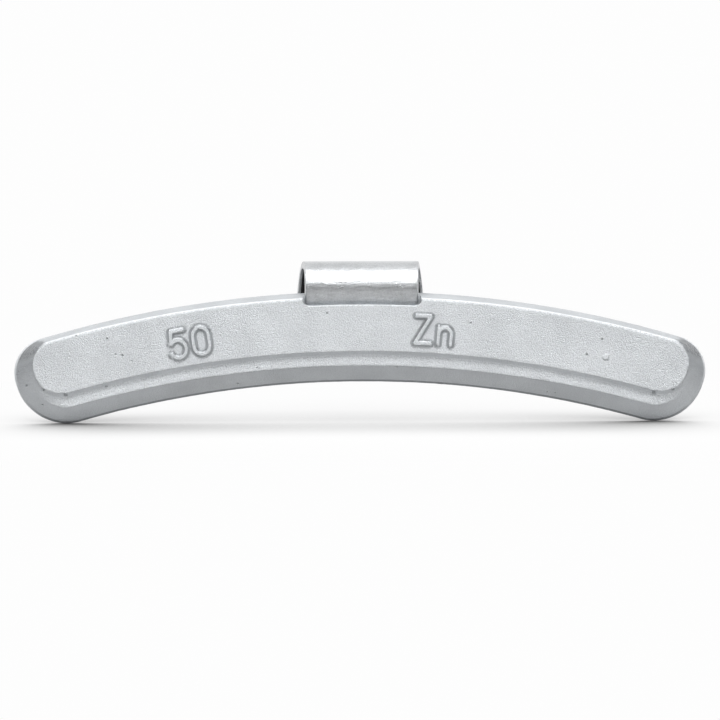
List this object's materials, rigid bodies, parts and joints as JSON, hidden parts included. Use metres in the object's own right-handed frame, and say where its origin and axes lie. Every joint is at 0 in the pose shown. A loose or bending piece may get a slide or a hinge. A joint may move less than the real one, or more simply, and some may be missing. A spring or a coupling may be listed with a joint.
{
  "type": "wheel balance weight",
  "caption": "Knock-on wheel balance weight: an arched zinc casting with a raised front panel and a spring-steel clip that hooks over the rim flange.",
  "frame": {"origin": "inner top of the clip's arch at the middle of its width, where it rests on the edge of the rim flange", "axes": "+Z away from the wheel's axle, +X along the weight, -Y out of the front panel"},
  "size_m": [0.1184, 0.011, 0.0275],
  "materials": {
    "zinc_casting": "matte, fine cast grain",
    "spring_steel": "satin, rolled"
  },
  "bodies": {
    "root": {"cast_body": "zinc_casting", "spring_clip": "spring_steel"}
  },
  "joints": []
}
